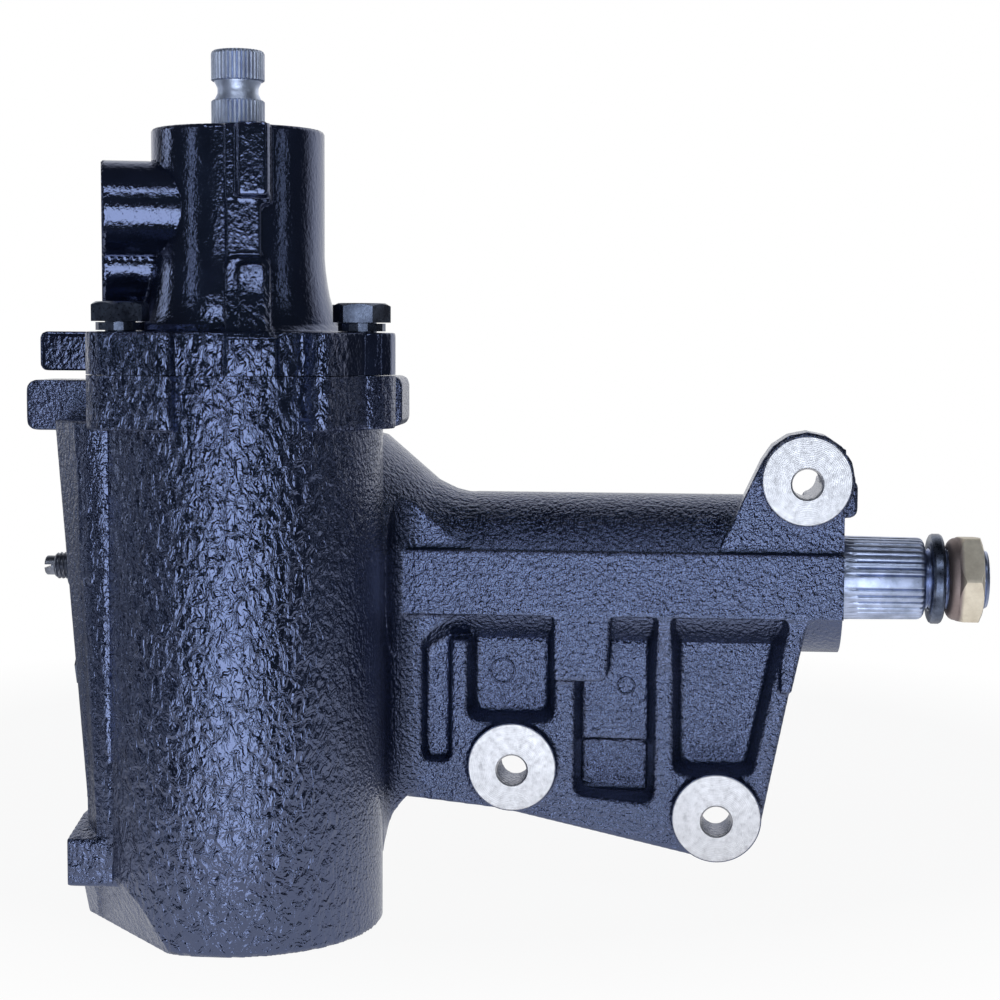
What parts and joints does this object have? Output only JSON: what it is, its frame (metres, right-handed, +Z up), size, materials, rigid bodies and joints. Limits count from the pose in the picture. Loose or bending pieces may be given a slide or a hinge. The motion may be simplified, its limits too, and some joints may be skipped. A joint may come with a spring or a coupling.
{
  "type": "integral power steering gearbox",
  "caption": "Recirculating-ball power steering gearbox with a splined pitman shaft, a splined input shaft and machined frame pads.",
  "frame": {"origin": "centre of the gear housing's flat lower end, on the worm axis", "axes": "+Z up the worm axis to the input shaft, +X along the sector shaft to the pitman splines, -Y out of the machined frame pads"},
  "size_m": [0.347, 0.1587, 0.2976],
  "materials": {
    "black_cast": "gloss black paint",
    "black_steel": "black oxide",
    "ground_steel": "ground",
    "dark_steel": "satin",
    "hard_steel": "ground and hardened",
    "zinc_yellow": "yellow zinc plate",
    "seal_rubber": "matt",
    "seal_plastic": "matt",
    "brass": "satin"
  },
  "bodies": {
    "housing": {"gear_housing": "black_cast", "valve_housing": "black_cast", "side_cover": "black_cast", "passage_plug": "dark_steel", "valve_housing_bolt_1": "black_steel", "valve_housing_bolt_2": "black_steel", "valve_housing_bolt_3": "black_steel", "valve_housing_bolt_4": "black_steel", "valve_housing_washer_1": "black_steel", "valve_housing_washer_2": "black_steel", "valve_housing_washer_3": "black_steel", "valve_housing_washer_4": "black_steel", "side_cover_bolt_1": "black_steel", "side_cover_bolt_2": "black_steel", "side_cover_bolt_3": "black_steel", "side_cover_bolt_4": "black_steel", "adjuster_screw": "dark_steel", "adjuster_lock_nut": "black_steel", "pressure_port_seat": "brass", "return_port_seat": "brass", "worm_bearing": "hard_steel", "side_cover_bush": "brass", "inner_needle_bearing": "hard_steel", "outer_needle_bearing": "hard_steel", "sector_oil_seal": "seal_rubber", "sector_snap_ring": "dark_steel", "sector_dust_seal": "seal_rubber", "side_cover_o_ring": "seal_rubber", "valve_housing_o_ring": "seal_rubber", "input_needle_bearing": "hard_steel", "input_oil_seal": "seal_rubber", "input_snap_ring": "dark_steel", "input_dust_cover": "seal_rubber"},
    "worm": {"worm_shaft": "hard_steel", "torsion_bar": "hard_steel", "worm_pin": "hard_steel"},
    "input": {"input_shaft": "ground_steel", "input_pin": "hard_steel"},
    "piston": {"rack_piston": "hard_steel", "piston_end_plug": "dark_steel", "piston_seal_ring": "seal_plastic", "ball_train": "hard_steel", "ball_return_guide": "dark_steel", "return_guide_clamp": "dark_steel", "clamp_screw_1": "dark_steel", "clamp_screw_2": "dark_steel"},
    "sector": {"sector_shaft": "ground_steel", "adjuster_shim": "hard_steel", "pitman_lock_washer": "black_steel", "pitman_nut": "zinc_yellow"}
  },
  "joints": [
    {"name": "sector_swing", "type": "hinge", "parent": "housing", "child": "sector", "pos_m": [0, 0.0572, 0.1154], "axis": [1, 0, 0], "range_deg": [-42, 42]},
    {"name": "piston_slide", "type": "slide", "parent": "housing", "child": "piston", "axis": [0, 0, 1], "range_m": [-0.0215, 0.0215]},
    {"name": "worm_spin", "type": "hinge", "parent": "housing", "child": "worm", "pos_m": [0, 0, 0.178], "axis": [0, 0, 1], "range_deg": [-670, 670]},
    {"name": "input_twist", "type": "hinge", "parent": "worm", "child": "input", "pos_m": [0, 0, 0.196], "axis": [0, 0, 1], "range_deg": [-4, 4], "stiffness_Nm_per_rad": 67}
  ],
  "couplings": [
    {"joint": "piston_slide", "follows": "sector_swing", "m_per_rad": -0.029},
    {"joint": "worm_spin", "follows": "sector_swing", "ratio": 15.845}
  ]
}
